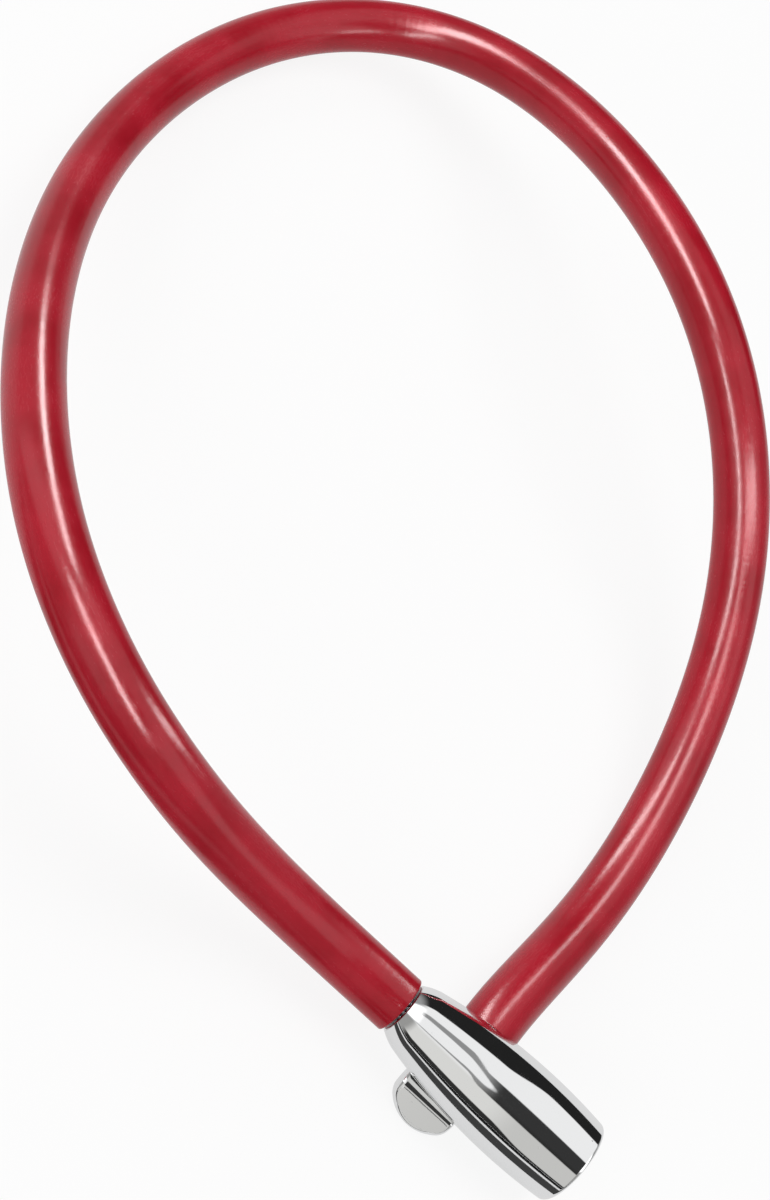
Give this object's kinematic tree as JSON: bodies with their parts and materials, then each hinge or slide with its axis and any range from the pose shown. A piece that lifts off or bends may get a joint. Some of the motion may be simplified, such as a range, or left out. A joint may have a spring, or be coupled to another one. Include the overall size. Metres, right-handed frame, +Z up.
{
  "type": "keyed cable luggage lock",
  "caption": "Keyed cable lock: chromed barrel housing with a badge lug at its side, a red jacketed steel cable loop and a locking plug that pulls out of the barrel's side.",
  "frame": {"origin": "centre of the whole object's outline, on the surface it rests on", "axes": "+X along the barrel towards its key end, +Y along the way the locking plug pulls out, +Z up from the resting surface"},
  "size_m": [0.212, 0.2102, 0.0521],
  "materials": {
    "chrome": "mirror polished plating",
    "red_jacket": "smooth soft vinyl, satin to gloss",
    "rope_steel": "bright drawn wire",
    "plug_steel": "turned and hardened steel",
    "zinc": "die-cast zinc alloy, dull",
    "brass": "machined brass",
    "spring_steel": "spring wire and clips"
  },
  "bodies": {
    "lock_body": {"lock_housing": "chrome", "boss_cap": "chrome", "end_ferrule": "plug_steel", "ferrule_ring": "spring_steel", "cable_rope": "rope_steel", "cable_jacket": "red_jacket", "cylinder_shell": "zinc", "cylinder_pin": "plug_steel"},
    "plug_body": {"locking_plug": "plug_steel", "plug_washer": "chrome"},
    "key_body": {"key_plug": "brass", "tail_clip": "spring_steel", "drive_cam": "plug_steel", "wafer_spring_1": "spring_steel", "wafer_spring_2": "spring_steel", "wafer_spring_3": "spring_steel", "wafer_spring_4": "spring_steel", "wafer_spring_5": "spring_steel"},
    "wafer_body_1": {"wafer_1": "brass"},
    "wafer_body_2": {"wafer_2": "brass"},
    "wafer_body_3": {"wafer_3": "brass"},
    "wafer_body_4": {"wafer_4": "brass"},
    "wafer_body_5": {"wafer_5": "brass"}
  },
  "joints": [
    {"name": "plug_pull", "type": "slide", "parent": "lock_body", "child": "plug_body", "axis": [0, 1, 0], "range_m": [0, 0.022], "deforming": ["cable_rope", "cable_jacket"]},
    {"name": "key_turn", "type": "hinge", "parent": "lock_body", "child": "key_body", "pos_m": [0.09399, -0.0902, 0.01025], "axis": [1, 0, 0], "range_deg": [0, 90]},
    {"name": "wafer_slide_1", "type": "slide", "parent": "key_body", "child": "wafer_body_1", "axis": [0, 0, 1], "range_m": [0, 0.0008], "stiffness_N_per_m": 30, "springref_m": 0.001, "deforming": ["wafer_spring_1"]},
    {"name": "wafer_slide_2", "type": "slide", "parent": "key_body", "child": "wafer_body_2", "axis": [0, 0, 1], "range_m": [0, 0.0008], "deforming": ["wafer_spring_2"]},
    {"name": "wafer_slide_3", "type": "slide", "parent": "key_body", "child": "wafer_body_3", "axis": [0, 0, 1], "range_m": [0, 0.0008], "deforming": ["wafer_spring_3"]},
    {"name": "wafer_slide_4", "type": "slide", "parent": "key_body", "child": "wafer_body_4", "axis": [0, 0, 1], "range_m": [0, 0.0008], "deforming": ["wafer_spring_4"]},
    {"name": "wafer_slide_5", "type": "slide", "parent": "key_body", "child": "wafer_body_5", "axis": [0, 0, 1], "range_m": [0, 0.0008], "deforming": ["wafer_spring_5"]}
  ],
  "couplings": [
    {"joint": "wafer_slide_2", "follows": "wafer_slide_1", "ratio": 1},
    {"joint": "wafer_slide_3", "follows": "wafer_slide_1", "ratio": 1},
    {"joint": "wafer_slide_4", "follows": "wafer_slide_1", "ratio": 1},
    {"joint": "wafer_slide_5", "follows": "wafer_slide_1", "ratio": 1}
  ]
}
